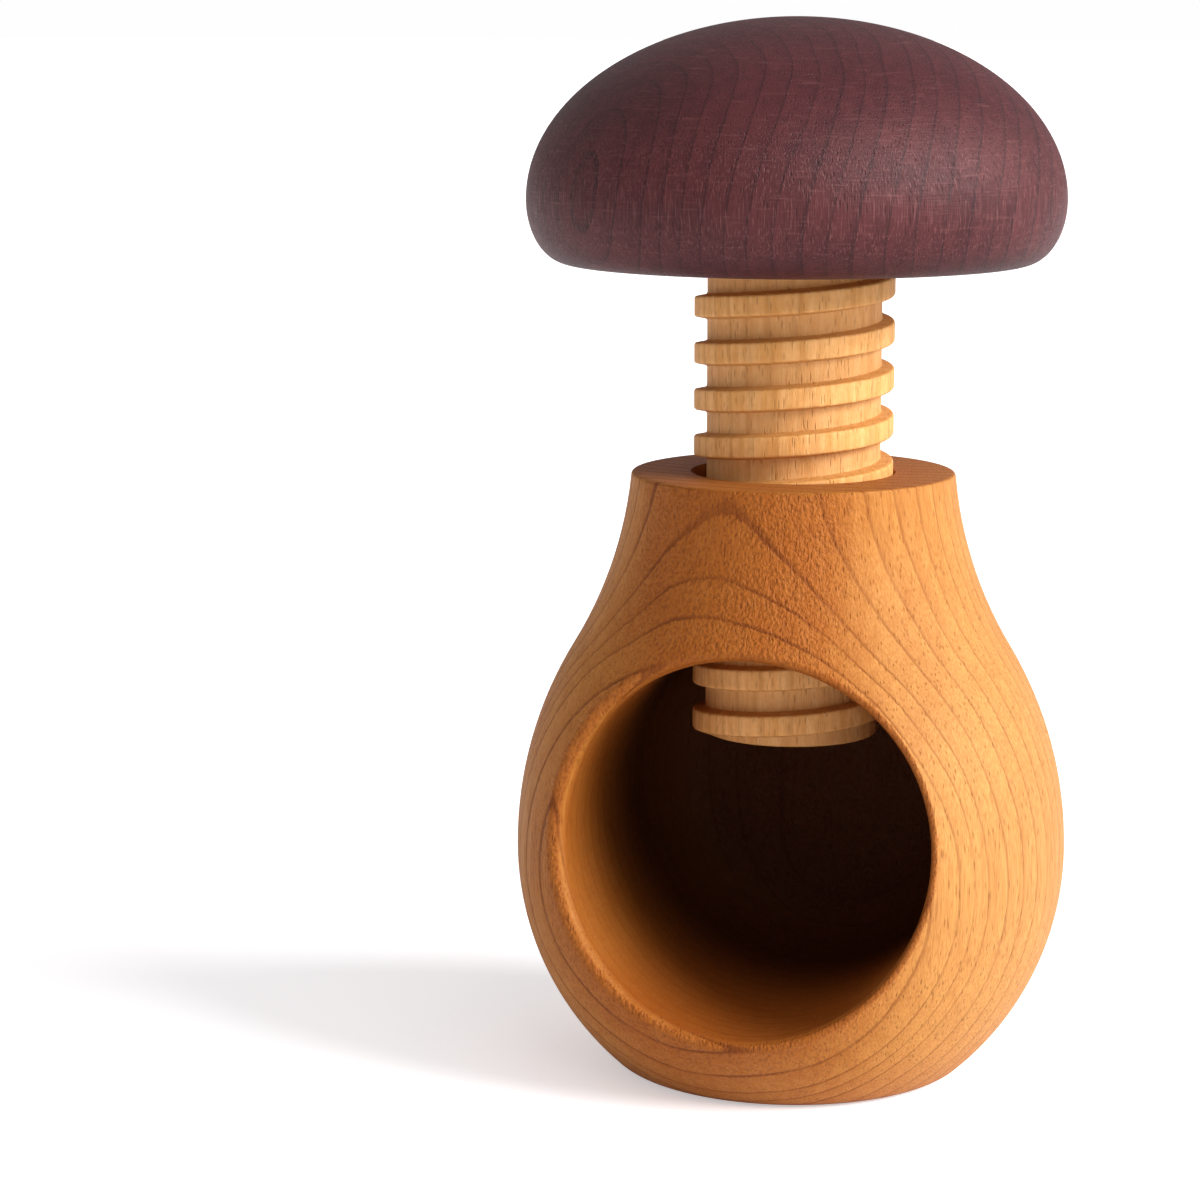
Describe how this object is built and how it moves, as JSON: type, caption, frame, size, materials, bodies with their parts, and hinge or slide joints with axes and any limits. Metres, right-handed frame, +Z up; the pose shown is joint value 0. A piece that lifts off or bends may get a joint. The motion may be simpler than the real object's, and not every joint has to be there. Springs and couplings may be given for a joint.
{
  "type": "screw nutcracker",
  "caption": "Turned wooden screw nutcracker: pear-shaped body with a round nut cavity in its side, and a threaded spindle with a mushroom-shaped cap that presses down on the nut.",
  "frame": {"origin": "middle of the flat base, on the screw's axis", "axes": "+Z up along the screw's axis, -Y out of the nut cavity's mouth"},
  "size_m": [0.078, 0.0765, 0.1486],
  "materials": {
    "body_wood": "oiled orange-brown hardwood, satin",
    "spindle_wood": "bare pale honey hardwood, fine threads",
    "cap_wood": "plum-brown stain, matt to satin",
    "dowel_wood": "bare pale hardwood"
  },
  "bodies": {
    "body": {"body": "body_wood"},
    "dowel": {"dowel": "dowel_wood"},
    "screw": {"spindle": "spindle_wood", "cap": "cap_wood"}
  },
  "joints": [
    {"name": "screw_rise", "type": "slide", "parent": "body", "child": "dowel", "axis": [0, 0, 1], "range_m": [-0.029, 0.0261]},
    {"name": "screw_turn", "type": "hinge", "parent": "dowel", "child": "screw", "pos_m": [0, 0, 0], "axis": [0, 0, 1], "range_deg": [-1600, 1440]}
  ],
  "couplings": [
    {"joint": "screw_rise", "follows": "screw_turn", "m_per_rad": 0.0010345}
  ]
}
